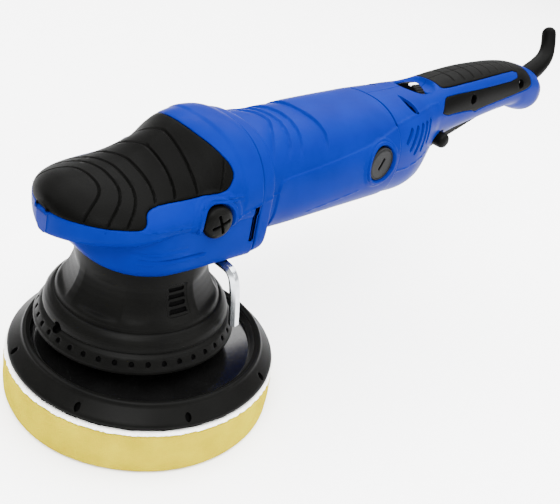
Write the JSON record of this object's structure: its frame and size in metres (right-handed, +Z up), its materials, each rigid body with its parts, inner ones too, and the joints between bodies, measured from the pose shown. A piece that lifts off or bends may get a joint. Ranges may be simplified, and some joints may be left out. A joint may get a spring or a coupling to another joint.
{
  "type": "dual action polisher",
  "caption": "Dual action car polisher with a free-spinning off-centre foam pad, rubber-gripped head, motor barrel, and rear handle with trigger, lock button, speed dial and cord guard.",
  "frame": {"origin": "on the drive spindle's axis, in the plane of the foam pad's working face", "axes": "+Z up along the drive spindle, from the pad to the head; +X from the head towards the rear handle; +Y to the right of a user who holds the handle and faces the head"},
  "size_m": [0.4627, 0.15, 0.1945],
  "materials": {
    "housing_blue": "satin saturated blue, glass-filled nylon",
    "grip_rubber": "matt black moulded rubber",
    "black_plastic": "satin black nylon",
    "grey_plastic": "dark grey plastic",
    "foam": "pale lemon-yellow open-cell polishing foam",
    "loop_fabric": "white hook-and-loop fabric",
    "steel": "machined steel",
    "chrome": "bright plated steel",
    "cast_aluminium": "cast, unpainted",
    "cast_iron": "cast, unpainted",
    "copper": "copper windings and bars",
    "brass": "folded brass",
    "carbon": "pressed carbon",
    "board": "green circuit board"
  },
  "bodies": {
    "housing": {"head_shell": "housing_blue", "head_grip": "grip_rubber", "head_cap_left": "black_plastic", "head_cap_right": "black_plastic", "gear_case": "cast_aluminium", "bearing_plate": "cast_aluminium", "shroud": "black_plastic", "shroud_screw_1": "steel", "shroud_screw_2": "steel", "shroud_screw_3": "steel", "upper_spindle_bearing": "steel", "lower_spindle_bearing": "steel", "motor_housing": "housing_blue", "front_motor_bearing": "steel", "rear_motor_bearing": "steel", "stator": "steel", "end_bracket": "cast_aluminium", "field_coil_left": "copper", "brush_holder_left": "brass", "brush_cap_left": "grey_plastic", "rear_housing_left": "housing_blue", "handle_grip_left": "grip_rubber", "field_coil_right": "copper", "brush_holder_right": "brass", "brush_cap_right": "grey_plastic", "rear_housing_right": "housing_blue", "handle_grip_right": "grip_rubber", "handle_screw_1": "steel", "handle_screw_2": "steel", "trigger_pin": "steel", "switch_body": "black_plastic", "control_board": "board", "cord_guard": "grip_rubber"},
    "drive": {"drive_spindle": "steel", "bevel_gear": "steel", "counterweight": "cast_iron", "pad_bearing": "steel"},
    "pad": {"pad_spindle": "steel", "pad_bolt": "steel", "backing_plate": "black_plastic", "hook_disc": "black_plastic", "loop_layer": "loop_fabric", "foam_pad": "foam"},
    "armature": {"armature_shaft": "steel", "armature_core": "steel", "armature_winding": "copper", "commutator": "copper", "cooling_fan": "black_plastic", "pinion": "steel"},
    "trigger": {"trigger": "black_plastic"},
    "plunger": {"switch_plunger": "black_plastic"},
    "lock": {"lock_button": "black_plastic"},
    "dial": {"speed_dial": "black_plastic"},
    "key": {"hex_key": "chrome"},
    "brush_left": {"carbon_brush_left": "carbon"},
    "brush_right": {"carbon_brush_right": "carbon"}
  },
  "joints": [
    {"name": "spindle_spin", "type": "hinge", "parent": "housing", "child": "drive", "pos_m": [0, 0, 0.1], "axis": [0, 0, 1], "continuous": true},
    {"name": "pad_spin", "type": "hinge", "parent": "drive", "child": "pad", "pos_m": [0.00281, -0.00695, 0.03], "axis": [0, 0, 1], "continuous": true},
    {"name": "armature_spin", "type": "hinge", "parent": "housing", "child": "armature", "pos_m": [0.09, 0, 0.125], "axis": [1, 0, 0], "continuous": true},
    {"name": "trigger_squeeze", "type": "hinge", "parent": "housing", "child": "trigger", "pos_m": [0.289, 0, 0.139], "axis": [0, 1, 0], "range_deg": [0, 6.5], "stiffness_Nm_per_rad": 2, "springref_deg": -2.86},
    {"name": "switch_push", "type": "slide", "parent": "housing", "child": "plunger", "axis": [0, 0, 1], "range_m": [0, 0.0046]},
    {"name": "lock_press", "type": "slide", "parent": "housing", "child": "lock", "axis": [0, 1, 0], "range_m": [0, 0.003], "stiffness_N_per_m": 600, "springref_m": -0.001},
    {"name": "speed_turn", "type": "hinge", "parent": "housing", "child": "dial", "pos_m": [0.204, 0, 0.1505], "axis": [1, 0, 0], "range_deg": [-135, 135]},
    {"name": "key_pull", "type": "slide", "parent": "housing", "child": "key", "axis": [0, -1, 0], "range_m": [0, 0.012]},
    {"name": "brush_left_wear", "type": "slide", "parent": "housing", "child": "brush_left", "axis": [0, -1, 0], "range_m": [0, 0.003], "stiffness_N_per_m": 300, "springref_m": -0.002},
    {"name": "brush_right_wear", "type": "slide", "parent": "housing", "child": "brush_right", "axis": [0, 1, 0], "range_m": [0, 0.003], "stiffness_N_per_m": 300, "springref_m": -0.002}
  ],
  "couplings": [
    {"joint": "armature_spin", "follows": "spindle_spin", "ratio": 4},
    {"joint": "switch_push", "follows": "trigger_squeeze", "m_per_rad": 0.039}
  ]
}
